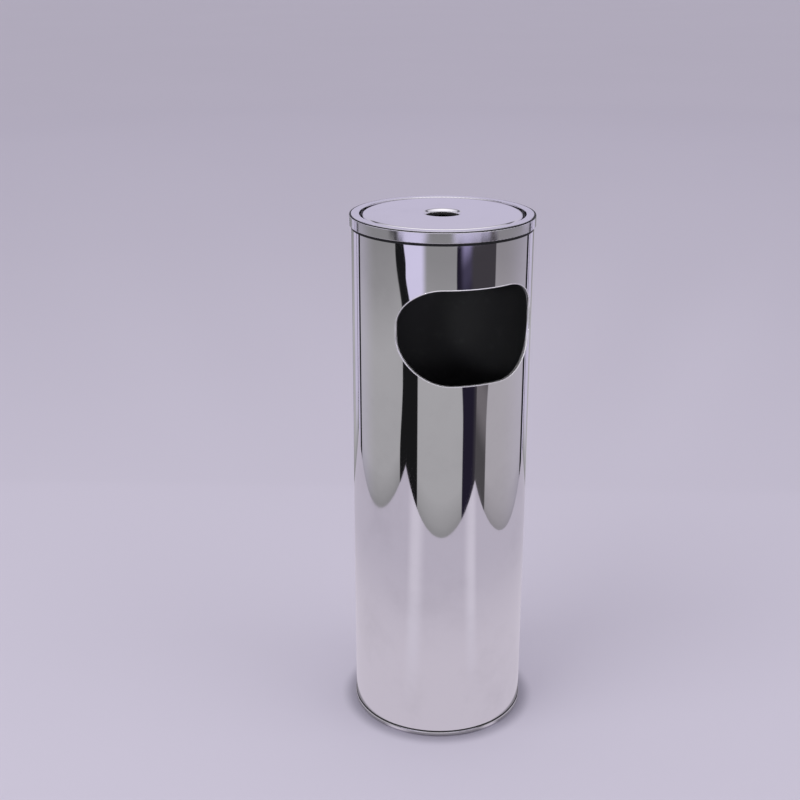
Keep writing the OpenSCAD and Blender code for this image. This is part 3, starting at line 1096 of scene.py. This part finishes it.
def dome_rivets(material):
    """Rivets with domed heads inside and flat set heads outside, two to each ear."""
    low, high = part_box("ear_rivets")
    height, out_x = (low.z + high.z) / 2, high.x
    offset = high.y - RIVET_HEAD
    inner_x = 88.5 * MM
    shank = 1.8 * MM
    levels = [(inner_x, 0.9 * MM), (inner_x + 0.12 * MM, 1.9 * MM), (inner_x + 0.4 * MM, 2.8 * MM)]
    levels += [(inner_x + rise * MM, RIVET_HEAD) for rise in (0.8, 1.0)]
    levels += [(inner_x + 1.0 * MM, shank), (out_x - 1.0 * MM, shank)]
    levels += [(out_x - rise * MM, RIVET_HEAD) for rise in (1.0, 0.3)]
    levels += [(out_x, 2.7 * MM)]
    shape = bmesh.new()
    for side in (0, math.pi):
        for y in (-offset, offset):
            stand = Matrix.Rotation(math.pi / 2, 4, "Y")
            place = Matrix.Rotation(side, 4, "Z") @ Matrix.Translation((0, y, height)) @ stand
            stack(shape, levels, 36, place)
    piece("dome_rivets", shape, material, "bucket", ["ear_rivets"], sharp=40)


def bail_handle(material):
    """The wire bail, folded back on the rim: its ends turn out through the ears, and are
    upset into round heads."""
    low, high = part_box("bucket_bail")
    height = (low.z + high.z) / 2
    radius = high.y - BAIL_LEG - BAIL_WIRE
    half = [Vector((high.x - 1.4 * MM, 0, height)), Vector((radius + BAIL_BEND, 0, height))]
    bend = arc(radius + BAIL_BEND, BAIL_BEND, BAIL_BEND, 262, 182, 10)
    half += [Vector((x, y, height)) for x, y in bend]
    half += [Vector((x, y, height)) for x, y in arc(0, BAIL_LEG, radius, 0, 90, 60)]
    mirrored = [Vector((-point.x, point.y, point.z)) for point in half[-2::-1]]
    shape = bmesh.new()
    wire(shape, half + mirrored, BAIL_WIRE)
    head = [(-1.4 * MM, 1.9 * MM), (-1.3 * MM, 2.6 * MM), (-0.9 * MM, 3.0 * MM)]
    head += [(-0.5 * MM, 3.0 * MM), (-0.15 * MM, 2.5 * MM), (0, 1.5 * MM)]
    for side in (0, math.pi):
        stand = Matrix.Rotation(math.pi / 2, 4, "Y")
        place = Matrix.Rotation(side, 4, "Z") @ Matrix.Translation((high.x, 0, height)) @ stand
        stack(shape, head, 32, place)
    piece("bail_handle", shape, material, "bail", ["bucket_bail"], sharp=50)


def dress(material, *nodes):
    """Gives CAD nodes their material."""
    for name in nodes:
        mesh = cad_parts[name].data
        mesh.materials.clear()
        mesh.materials.append(material)


def make_bin():
    turned_polish = polished_steel("turned_steel", 0.00003)
    brushed = satin_steel("satin_steel")
    coat = black_coat("black_coat")
    plated = zinc()
    rubber = black_rubber()
    dress(tube_steel(), "outer_tube")
    dress(turned_polish, "lid_skirt")
    dress(brushed, "rim_plate", "rim_band", "base_ring")
    dress(black_plastic(), "collar")
    dress(coat, "ash_bowl")
    dress(rubber, "base_gasket")
    dress(plated, "foot_washers", "bail_ears")
    lid_dish(lid_steel())
    opening_bead(bright_edge())
    rear_seam(turned_polish)
    litter_bucket(coat)
    dome_rivets(plated)
    bail_handle(plated)
    base_pan(plated)
    rubber_feet(rubber)
    machine_screws(plated)
    hexagon_nuts(plated)


make_camera()
make_studio()
make_bin()
